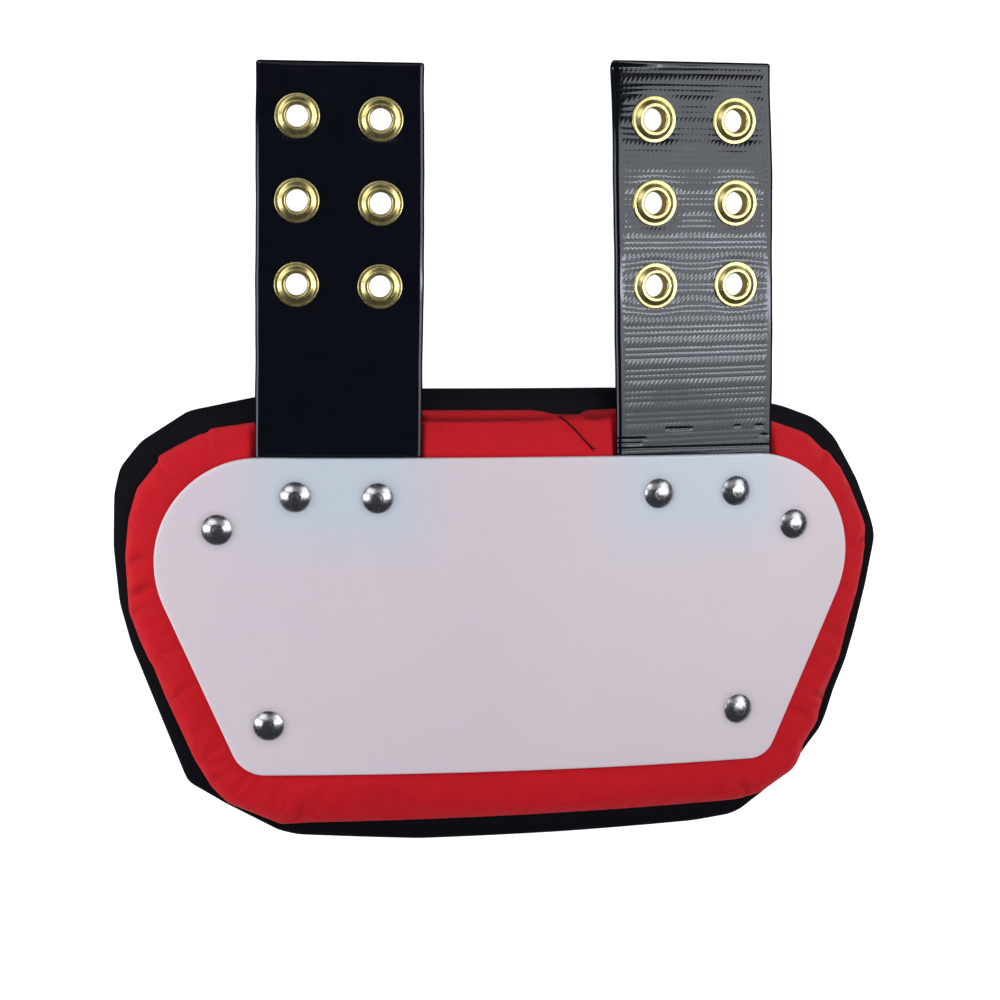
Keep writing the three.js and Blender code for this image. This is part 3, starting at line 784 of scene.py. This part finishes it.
# %% Grommets as plain meshes
GROMMET_SIZE = {"left": 0.95, "right": 1.0}
for seed, side in enumerate(STRAPS):
    carrier = linked("grommets_" + side, bpy.data.meshes.new("carrier"))
    first, second = GROMMET_COLUMNS[side]
    plain_mesh(carrier, grommet_tree, {
        "Grommet": one_grommet, "Column gap": (second - first) / 1000,
        "Row gap": (GROMMET_ROWS[1] - GROMMET_ROWS[0]) / 1000, "Rows": len(GROMMET_ROWS),
        "First row": GROMMET_ROWS[0] / 1000, "Size": GROMMET_SIZE[side], "Seed": seed, "Brass": brass,
    })
    rings = points_of(carrier).reshape(2 * len(GROMMET_ROWS), -1, 3)
    middles = rings.mean(1)
    radii = 1000 * np.linalg.norm((rings - middles[:, None])[..., :2], axis=-1)
    mark_points(carrier, "in_bore", ease(radii, 3.95, 3.7) * ease(1000 * rings[..., 2], 0.9, 0.3))
    lying = np.stack(laid(side, 1000 * middles[:, 0] + (first + second) / 2, 1000 * middles[:, 1]), -1) / 1000
    rings[:, :, :2] += (lying - middles[:, :2])[:, None]
    set_points(carrier, rings)
    carrier.data.transform(strap_frames[side])
    carrier.data.shade_smooth()
    names = [f"grommet_{side}_{column}_{row}" for column in ("left", "right") for row in (1, 2, 3)]
    wear(carrier, brass, "brass", *names)

# %% [markdown]
# ## Rivets
# The rivets are plated steel, set with a hollow punch that leaves a small ring on top of the
# dome. They don't stand on a grid, so their tree reads a point for each one, with the direction it
# stands in as an attribute, and turns a copy of one rivet to it.

# %% One rivet
HEAD_RADIUS, HEAD_BALL, HEAD_EDGE = 4.85, 7.0, 0.22
PUNCH_INNER, PUNCH_RING, PUNCH_OUTER = 1.3, 1.55, 1.75
RIVET_PROFILE = []
for r in (0.0, 0.5, 0.95, 1.3, 1.55, 1.75, 2.0, 2.4, 2.8, 3.2, 3.6, 3.95, 4.25, 4.5, 4.68, 4.8):
    dome = math.sqrt(HEAD_BALL**2 - r**2) - math.sqrt(HEAD_BALL**2 - HEAD_RADIUS**2)
    punch = 0.06 * ease(r, PUNCH_OUTER, PUNCH_INNER) + 0.03 * math.exp(-(((r - PUNCH_RING) / 0.2) ** 2))
    RIVET_PROFILE.append((r, HEAD_EDGE + dome - float(punch)))
RIVET_PROFILE += [(4.85, 0.16), (4.8, 0.03), (4.4, 0.0), (2.2, 0.0), (2.2, -4.0), (0.0, -4.0)]
one_rivet = spun("one_rivet", RIVET_PROFILE, 40)

# %% Stand rivets on their points
rivet_tree, given = tree_of_copies(
    "rivets_on_points", Rivet="Object", Size="Float", Lean="Float", Seed="Int", Steel="Material",
)
stands = node(rivet_tree, "GeometryNodeInputNamedAttribute", {"Name": "stands"}, data_type="FLOAT_VECTOR")
less = node(rivet_tree, "ShaderNodeMath", {0: given["Lean"], 1: -1.0}, operation="MULTIPLY")
least = node(rivet_tree, "ShaderNodeCombineXYZ", {"X": less, "Y": less})
most = node(rivet_tree, "ShaderNodeCombineXYZ", {"X": given["Lean"], "Y": given["Lean"]})
range_of_lean = {"Min": least, "Max": most, "Seed": given["Seed"]}
leaning = node(rivet_tree, "FunctionNodeRandomValue", range_of_lean, data_type="FLOAT_VECTOR")
way = node(rivet_tree, "ShaderNodeVectorMath", {0: stands, 1: leaning}, operation="ADD")
turned = node(rivet_tree, "FunctionNodeAlignRotationToVector", {"Vector": way}, axis="Z")
end_with_copies(rivet_tree, given["Geometry"], given["Rivet"], turned, given["Size"], given["Steel"])

# %% [markdown]
# ## Plated steel
# Bright zinc plate over a cold-headed rivet is a neutral grey mirror with small dents from the setting tool.

# %% Steel finish
# The plating mirrors the softboxes, and dents of about half a millimetre make the images ragged.
steel, tree, shader, place = finish("zinc_plated_steel", {"Metallic": 1.0})
dents, zinc = mottled(tree, place, 1.1, "#A4A4AA", "#C6C6CB", Detail=4.0, Roughness=0.6)
dull = node(tree, "ShaderNodeMapRange", {0: dents, 1: 0.3, 2: 0.75, 3: 0.2, 4: 0.34})
beaten = node(tree, "ShaderNodeBump", {"Height": dents, "Strength": 0.5, "Distance": 0.00008})
node(tree, shader, {"Roughness": dull, "Base Color": zinc, "Normal": beaten})
print("steel nodes:", len(tree.nodes))

# %% Rivets as one plain mesh
RIVET_LIFT = 0.03
rivet_points = bpy.data.meshes.new("rivet_points")
rivet_points.from_pydata([tuple(on_back(s, y, RIVET_LIFT)) for s, y in RIVETS.values()], [], [])
stands_mark = rivet_points.attributes.new("stands", "FLOAT_VECTOR", "POINT")
ways = [(math.sin(s / BACK_RADIUS), 0.0, math.cos(s / BACK_RADIUS)) for s, _ in RIVETS.values()]
stands_mark.data.foreach_set("vector", np.array(ways, np.float32).ravel())
rivets = linked("rivets", rivet_points)
plain_mesh(rivets, rivet_tree, {"Rivet": one_rivet, "Size": 1.0, "Lean": 0.02, "Seed": 4, "Steel": steel})
rivets.data.shade_smooth()
wear(rivets, steel, "plated_steel", *["rivet_" + name for name in RIVETS])

# %% [markdown]
# ## The pad's outlines
# The pad is two cloth covers round a slab of foam, sewn together at the red cover's edge. The red cover's seam
# and the wider black back are each given by their turning points. Where the seam allowance was snipped, the
# red edge has a small step.

# %% Seam and back outlines
WALK = 1.0
RED_TURNS = [
    (61, 63.5), (34, 65), (24.6, 64.7), (23.4, 63.4), (15.5, 63.4), (12, 64.1), (7, 64.9), (-30, 65), (-83.5, 61),
    (-97.8, 58.9), (-98.3, 57.5), (-100.5, 57.3), (-109, 53), (-113.2, 50.6), (-114.8, 49.8), (-113.9, 48.4),
    (-115, 47.5), (-121.5, 39.5), (-124.3, 30), (-125.5, 18), (-124.5, 0), (-121, -9.5), (-118, -16.2),
    (-117, -17.4), (-113, -27.5), (-103.5, -48.5), (-98, -57.5), (-92.5, -63), (-75, -70), (-66, -69.5), (18, -68.5),
    (80.5, -67.7), (89.6, -66), (101.4, -59), (103.3, -56.6), (104.5, -54), (105.7, -50), (109.5, -44.4),
    (110.9, -42.1), (111.2, -39.2), (113.6, -32.2), (118.4, -21.1), (121.1, -10.7), (124.8, 1.9), (126.7, 11.4),
    (127.2, 17.5), (127.2, 24.1), (126, 27), (120.6, 38.1), (116.5, 44.8), (115.7, 45.3), (112, 49.8), (110.4, 50),
    (104.6, 55.2), (102.4, 56.4), (91, 60.1),
]
BLACK_TURNS = [
    (36, 71.5), (-29, 71.5), (-83.5, 68.6), (-105.3, 64), (-121, 54), (-128, 45.5), (-130, 37), (-130.4, 20),
    (-128.6, 2), (-124.8, -12), (-106.5, -57.3), (-96, -63), (-76, -73.5), (-70, -75), (-29, -77), (20, -76.5),
    (67.5, -75.5), (81, -74.2), (85.2, -72.6), (92.6, -67), (101, -59), (106.8, -55.2), (112.8, -48.7), (114.8, -46.6),
    (117.2, -41.3), (120, -32.9), (124.2, -23.5), (127.8, -12), (131.5, 2.8), (133.5, 13), (134.5, 17.8),
    (134.6, 20.8), (132.6, 26.3), (126.7, 39.3), (117.5, 53.7), (112.6, 58.1), (109, 60.6), (97.6, 64.5), (93.2, 65.5),
]
RED_SOFTENING, BLACK_SOFTENING, EVENING = 0.7, 1.4, 7.0


def reach_along(line, ways):
    """Distance from the middle to a closed line, along each of several unit directions."""
    best = np.zeros(len(ways))
    for p, q in zip(line, np.roll(line, -1, 0)):
        e = q - p
        with np.errstate(divide="ignore", invalid="ignore"):
            bottom = ways[:, 0] * e[1] - ways[:, 1] * e[0]
            far = (p[0] * e[1] - p[1] * e[0]) / bottom
            share = (p[0] * ways[:, 1] - p[1] * ways[:, 0]) / bottom
        hit = np.isfinite(far) & (share > -1e-9) & (share < 1 + 1e-9) & (far > 0)
        best = np.where(hit, np.maximum(best, far), best)
    return best


red_edge, black_line = (
    softened(even_walk(np.array(turns, float), WALK), softening, WALK)
    for turns, softening in ((RED_TURNS, RED_SOFTENING), (BLACK_TURNS, BLACK_SOFTENING))
)
red_out = outward(red_edge, EVENING, WALK)
red_reach = np.linalg.norm(red_edge, axis=1)
red_ways = red_edge / red_reach[:, None]
black_reach = reach_along(black_line, red_ways)
black_edge = red_ways * np.maximum(black_reach, red_reach - 1.0)[:, None]
past_seam = float((black_reach - red_reach).max())
print("seam points:", len(red_edge), "black stands out by", round(past_seam, 1), "mm at most")

# %% [markdown]
# ## Blowing up the red cover
# A foam pad's cover is pulled over the foam, so it is round where it is free and flat where something
# presses on it. Blender's Cloth does this for the red cover: the cloth has a little slack, pressure fills it,
# and the seam and whatever lies under the plate are held. The movement is capped, so that the pad
# stays in the place of its solid. The black back lies on the floor and is shaped without it.

# %% Swell with cloth
def swell(piece, held, up, pressure=4.0, slack=0.015, cap=2.2, frames=20):
    """Fills a cover with pressure where it isn't held. Each point rises along up, at most by cap in mm."""
    before = points_of(piece)
    group = piece.vertex_groups.new(name="held")
    for number in np.flatnonzero(held > 0):
        group.add([int(number)], float(held[number]), "REPLACE")
    cloth = piece.modifiers.new("swell", "CLOTH")
    cloth.settings.vertex_group_mass = "held"
    cloth.settings.use_pressure = True
    cloth.settings.uniform_pressure_force = pressure
    cloth.settings.shrink_min = -slack
    cloth.settings.effector_weights.gravity = 0.0
    cloth.settings.quality = 4
    cloth.settings.bending_stiffness = 2.0
    cloth.point_cache.frame_start, cloth.point_cache.frame_end = 1, frames
    for step in range(1, frames + 1):
        bpy.context.scene.frame_set(step)
    after = points_of(piece.evaluated_get(bpy.context.evaluated_depsgraph_get()))
    piece.modifiers.remove(cloth)
    piece.vertex_groups.remove(group)
    bpy.context.scene.frame_set(1)
    rise = np.clip(((after - before) * up).sum(1), -cap / 1000, cap / 1000)
    print(piece.name, "rose by", round(1000 * float(rise.min()), 2), "to", round(1000 * float(rise.max()), 2), "mm")
    return before + rise[:, None] * up


print("cloth is", "run")

# %% Red cover
PAD_FACE, SEAM_LIFT, UNDER_SEAM, ROLL, ROLL_POWER = -3.75, -10.5, -10.65, 15.0, 2.3
PRESSED_LIFT = -7.6


def pressed(s, y, lift):
    """The pad's lift where a strap lies on it and presses it down."""
    for side in STRAPS:
        away, height = across_strap(side, s, y)
        wide = STRAP_HALF + (1.5 if side == "right" else 0.8)
        under = ease(abs(away), wide + 1.3, wide - 0.2) * ease(height, -STRAP_TUCK - 5, -STRAP_TUCK - 1)
        lift = lift + under * (np.minimum(lift, PRESSED_LIFT) - lift)
    return lift


insets = np.array([0, 0.3, 0.7, 1.2, 1.75, 2.3, 2.9, 3.5, 4.2, 5.0, 6.0, 7.2, 8.6, 10.1, 11.7, 13.3, ROLL])
rounding = (1 - (1 - insets / ROLL) ** ROLL_POWER) ** (1 / ROLL_POWER)
cover = [(red_edge - red_out * d, SEAM_LIFT + (PAD_FACE - SEAM_LIFT) * r) for d, r in zip(insets, rounding)]
under_plate = [(cover[-1][0] * k, PAD_FACE) for k in np.linspace(0.03, 1, 20)[:-1]]
under_seam = [(red_edge * k, UNDER_SEAM) for k in np.linspace(0.985, 0.04, 9)]
level_rows = under_plate + cover[::-1] + under_seam
front_points = [on_back(*row.T, pressed(*row.T, np.full(len(row), lift))) for row, lift in level_rows]
front_poles = [on_back(0, 0, lift) for lift in (PAD_FACE, UNDER_SEAM)]
pad_front = mesh_piece("pad_front_cover", *ring_shell(front_points, *front_poles))
print("red cover:", len(pad_front.data.vertices), "points")

# %% What holds the red cover down
flat = flat_places(level_rows)
row_of_point = np.repeat(np.arange(len(level_rows)), len(red_edge))
row_of_point = np.concatenate([[0], row_of_point, [len(level_rows) - 1]])
SEAM_ROW = len(under_plate) + len(cover) - 1


def beyond_plate(places):
    """Distance outside the plate's outline, in mm, negative inside it."""
    gaps = []
    for part in np.array_split(places, 20):
        step = part[:, None, :] - plate_outline[None]
        far = np.hypot(step[..., 0], step[..., 1])
        near = far.argmin(1)
        sign = np.sign((step[np.arange(len(part)), near] * plate_out[near]).sum(1))
        gaps.append(far.min(1) * sign)
    return np.concatenate(gaps)


outside = beyond_plate(flat)
strap_over = np.zeros(len(flat))
for side in STRAPS:
    away, height = across_strap(side, *flat.T)
    over = ease(abs(away), STRAP_HALF + 7, STRAP_HALF + 3) * (height > -STRAP_TUCK - 6)
    strap_over = np.maximum(strap_over, over)
held = np.maximum(1 - ease(outside, 0.3, 3.5), strap_over)
held[row_of_point >= SEAM_ROW - 1] = 1.0
held[[0, -1]] = 1.0
bend = flat[:, 0] / BACK_RADIUS
upwards = np.stack([np.sin(bend), np.zeros(len(flat)), np.cos(bend)], -1)
set_points(pad_front, swell(pad_front, held, upwards))
print("free points:", int((held < 0.5).sum()))

# %% [markdown]
# ## Creases
# The cover is pulled hardest at the snips and at the rivets, and short creases run from the seam
# towards the plate there. Each is a narrow valley with a low ridge beside it, pushed into the swollen mesh. The
# closing edge at the top, between the straps, was sewn by hand after the foam went in, and its stitches
# draw a long valley along the red cloth.

# %% Press the creases in
# Each crease has the flat places of its start and end, and its depth. The closing edge has its two ends and height.
CREASES = [
    (-126, 16, -116, 20, 0.9), (-125, 6, -113, 10, 1.0), (-125, 0, -118, 2.5, 0.7), (-113, -28, -105, -25, 0.6),
    (113, -36, 104, -30, 1.0), (127.5, 20, 120, 17, 0.9), (-72, -69, -66, -60, 0.6), (-115, 48, -107, 42, 0.7),
    (84, -67, 79, -58, 0.7), (112, 50, 105, 44, 0.6), (-100, -56, -92, -51, 0.6), (121, 38, 113, 33, 0.5),
]
CREASE_WIDTH, CLOSING_EDGE, CLOSING_DEPTH = 1.2, (-31.5, 34.5, 62.6), 1.1


def crease(places, start, end, depth):
    """Height of a crease at flat places: a valley along a line, with a low ridge on one side."""
    along = end - start
    long = np.linalg.norm(along)
    part = (places - start) @ along / long
    side = (places - start) @ np.array([-along[1], along[0]]) / long + 0.5 * np.sin(part / 2.1)
    fade = ease(part, -1.5, 1.5) * ease(part, long, long * 0.45)
    ridge = 0.55 * np.exp(-(((side / CREASE_WIDTH - 2) / 1.5) ** 2))
    return fade * depth * (ridge - np.exp(-((side / CREASE_WIDTH) ** 2)))


normals = np.array([v.normal for v in pad_front.data.vertices])
push = np.zeros(len(flat))
for s0, y0, s1, y1, depth in CREASES:
    push += crease(flat, np.array([s0, y0], float), np.array([s1, y1], float), depth)
left, right, level = CLOSING_EDGE
line_y = level + 0.1 * np.sin(flat[:, 0] / 11)
from_left = ease(flat[:, 0], left - 2, left + 1)
drawn_in = np.exp(-(((flat[:, 1] - line_y) / 0.8) ** 2)) * from_left * ease(flat[:, 0], right + 2, right - 8)
push -= CLOSING_DEPTH * drawn_in
inset_of_row = np.concatenate([np.full(len(under_plate), ROLL), insets[::-1], np.zeros(len(under_seam))])
push *= 1 - np.maximum(1 - ease(outside, 0.2, 2.0), strap_over * (drawn_in < 0.02))
push *= ease(inset_of_row[row_of_point], 0.3, 2.6)
set_points(pad_front, points_of(pad_front) + normals * (push * (row_of_point < SEAM_ROW) / 1000)[:, None])
edge_strip = ease(flat[:, 1], line_y - 0.3, line_y + 0.5) * from_left * ease(flat[:, 0], right + 2, right - 2)
# Shade is painted into the valleys, where the cloth is darker, and the cloth is also darker above the closing edge,
# most of all at its right end.
valley_shade = 0.5 * drawn_in + (0.22 + 0.4 * ease(flat[:, 0], 22.5, 24.5)) * edge_strip
valley_shade = valley_shade + 0.35 * np.maximum(-push - 0.3 * drawn_in, 0)
mark_points(pad_front, "worn_dark", np.clip(valley_shade, 0, 1))
print("creases:", len(CREASES), "deepest", round(float(-push.min()), 2), "mm")

# %% Black back
SHOULDER, BULGE_LIFT, BACK_LIFT, BACK_ROLL = -10.9, -15.5, -22.0, 12.0
back_out = outward(black_edge, EVENING, WALK)
back_rows = [(red_edge * k, SHOULDER) for k in np.linspace(0.03, 0.985, 10)]
for angle in np.linspace(0.06, 1, 11) * math.pi / 2:
    lift = SHOULDER + (BULGE_LIFT - SHOULDER) * (1 - math.cos(angle))
    back_rows.append((red_edge + (black_edge - red_edge) * math.sin(angle), lift))
for angle in np.linspace(0.1, 1, 10) * math.pi / 2:
    lift = BULGE_LIFT + (BACK_LIFT - BULGE_LIFT) * math.sin(angle)
    back_rows.append((black_edge - back_out * BACK_ROLL * (1 - math.cos(angle)), lift))
underside = back_rows[-1][0]
back_rows += [(underside * k, BACK_LIFT) for k in np.linspace(1, 0.03, 28)[1:]]
pad_back = bent_piece("pad_back_cover", back_rows)
places = points_of(pad_back)
places[:, 2] = np.maximum(places[:, 2], 0.0)
set_points(pad_back, places)
print("black back:", len(places), "points, lowest", round(float(places[:, 2].min()), 5))

# %% [markdown]
# ## Nylon cloth
# Both covers are coated nylon pack cloth. Its ribs run up and down, about 0.65 mm apart, with finer threads
# across them, so it looks ribbed from close by and matt with a soft sheen from further off.
# The pattern follows the piece's own coordinates, in real millimetres.

# %% Cloth finishes
CLOTH_RIB, CLOTH_CROSS, CROSS_SHARE = 0.00065, 0.0005, 0.35


def cloth_finish(name, dark, light, shade_colour, sheen):
    """Ribbed pack cloth in two close shades of one colour, and a third, darker one for the shade painted into its
    creases.
    """
    # Many small thread tops make it matt, and their loose fibres give a soft sheen at a slant.
    made, tree, shader, place = finish(name, {
        "Roughness": 0.72, "Sheen Weight": sheen, "Sheen Roughness": 0.4, "Specular IOR Level": 0.1,
    })
    axes = node(tree, "ShaderNodeSeparateXYZ", {0: place}, None)
    wobble = node(tree, "ShaderNodeTexNoise", {"Vector": place, "Scale": 1 / 0.006, "Detail": 2.0}, "Fac")
    uneven = node(tree, "ShaderNodeMath", {0: wobble, 1: 0.0006, 2: axes["X"]}, operation="MULTIPLY_ADD")
    waves = []
    for way, pitch in ((uneven, CLOTH_RIB), (axes["Y"], CLOTH_CROSS)):
        angle = node(tree, "ShaderNodeMath", {0: way, 1: 2 * math.pi / pitch}, operation="MULTIPLY")
        waves.append(node(tree, "ShaderNodeMath", {0: angle}, operation="SINE"))
    weave = node(tree, "ShaderNodeMath", {0: waves[1], 1: CROSS_SHARE, 2: waves[0]}, operation="MULTIPLY_ADD")
    fade = node(tree, "ShaderNodeTexNoise", {"Vector": place, "Scale": 1 / 0.03, "Detail": 3.0}, "Fac")
    thread = node(tree, "ShaderNodeMapRange", {0: weave, 1: -1 - CROSS_SHARE, 2: 1 + CROSS_SHARE, 3: 0.2, 4: 0.4})
    share = node(tree, "ShaderNodeMath", {0: fade, 1: 0.5, 2: thread}, operation="MULTIPLY_ADD")
    tint = node(tree, "ShaderNodeMix", {0: share, 6: colour(dark), 7: colour(light)}, 2, data_type="RGBA")
    # Painted shade: the cover's creases and valleys are mixed towards the darker shade colour.
    shade_amount = node(tree, "ShaderNodeAttribute", out="Fac", attribute_name="worn_dark")
    shaded = node(tree, "ShaderNodeMix", {0: shade_amount, 6: tint, 7: colour(shade_colour)}, 2, data_type="RGBA")
    relief = node(tree, "ShaderNodeBump", {"Height": weave, "Strength": 0.25, "Distance": 0.00005})
    node(tree, shader, {"Base Color": shaded, "Normal": relief})
    return made


# The third colour of each cloth is the painted crease shade.
red_cloth = cloth_finish("red_nylon_pack_cloth", "#BE1721", "#D81F2B", "#6E0C14", 0.03)
black_cloth = cloth_finish("black_nylon_pack_cloth", "#07070C", "#0D0D15", "#020204", 0.01)
wear(pad_front, red_cloth, "red_nylon", "pad_front")
wear(pad_back, black_cloth, "black_nylon", "pad_back")
print("cloth ribs:", 1000 * CLOTH_RIB, "mm")

# %% [markdown]
# ## The loose thread
# The closing seam's black thread wasn't trimmed: its end lies across the red cloth and is split at the tip. It
# is a thin tube along a few places that are dropped onto the red cover from above, so that it lies
# on the cloth. A bevelled curve would do as well, but it would have to be turned into a mesh.

# %% Lay the thread on the cover
THREAD_RADIUS, THREAD_SIDES, ABOVE_ALL = 0.26, 8, 0.2
cover_faces = [tuple(p.vertices) for p in pad_front.data.polygons]
cover_tree = BVHTree.FromPolygons([v.co.copy() for v in pad_front.data.vertices], cover_faces)


def strand(places, radius):
    """Points and faces of a thin tube along flat places, lying on the red cover."""
    way = np.array(places, float)
    stops = np.linspace(0, len(way) - 1, 6 * len(way))
    fine = np.stack([np.interp(stops, np.arange(len(way)), way[:, k]) for k in (0, 1)], -1)
    path = []
    for x, y, _ in on_back(fine[:, 0], fine[:, 1], -5.0):
        hit = cover_tree.ray_cast(Vector((x, y, ABOVE_ALL)), Vector((0, 0, -1)))[0]
        path.append(np.array(hit) + [0, 0, 0.8 * radius / 1000])
    path = np.array(path)
    path[1:-1] = (path[:-2] + 2 * path[1:-1] + path[2:]) / 4
    ahead = np.gradient(path, axis=0)
    ahead /= np.linalg.norm(ahead, axis=1, keepdims=True)
    aside = np.cross(ahead, [0, 0, 1.0])
    aside /= np.linalg.norm(aside, axis=1, keepdims=True)
    above = np.cross(aside, ahead)
    angles = np.linspace(0, 2 * math.pi, THREAD_SIDES, endpoint=False)[:, None]
    rings = [p + radius / 1000 * (np.cos(angles) * a + np.sin(angles) * b) for p, a, b in zip(path, aside, above)]
    return ring_shell(rings, path[0], path[-1])


STRANDS = [
    ([(15.6, 62.9), (17.4, 61.6), (19.8, 59.2), (22.5, 56.2), (24.6, 54.0), (25.8, 52.9)], THREAD_RADIUS),
    ([(25.2, 53.4), (26.2, 52.9), (27.1, 52.8)], 0.6 * THREAD_RADIUS),
    ([(25.2, 53.3), (25.8, 52.5), (26.1, 52.0)], 0.6 * THREAD_RADIUS),
]
thread_points, thread_faces = np.zeros((0, 3)), []
for tube_points, tube_faces in (strand(*row) for row in STRANDS):
    thread_faces += [tuple(i + len(thread_points) for i in f) for f in tube_faces]
    thread_points = np.vstack([thread_points, tube_points])
thread_end = mesh_piece("loose_thread", thread_points, thread_faces)
wear(thread_end, black_cloth, "black_nylon")
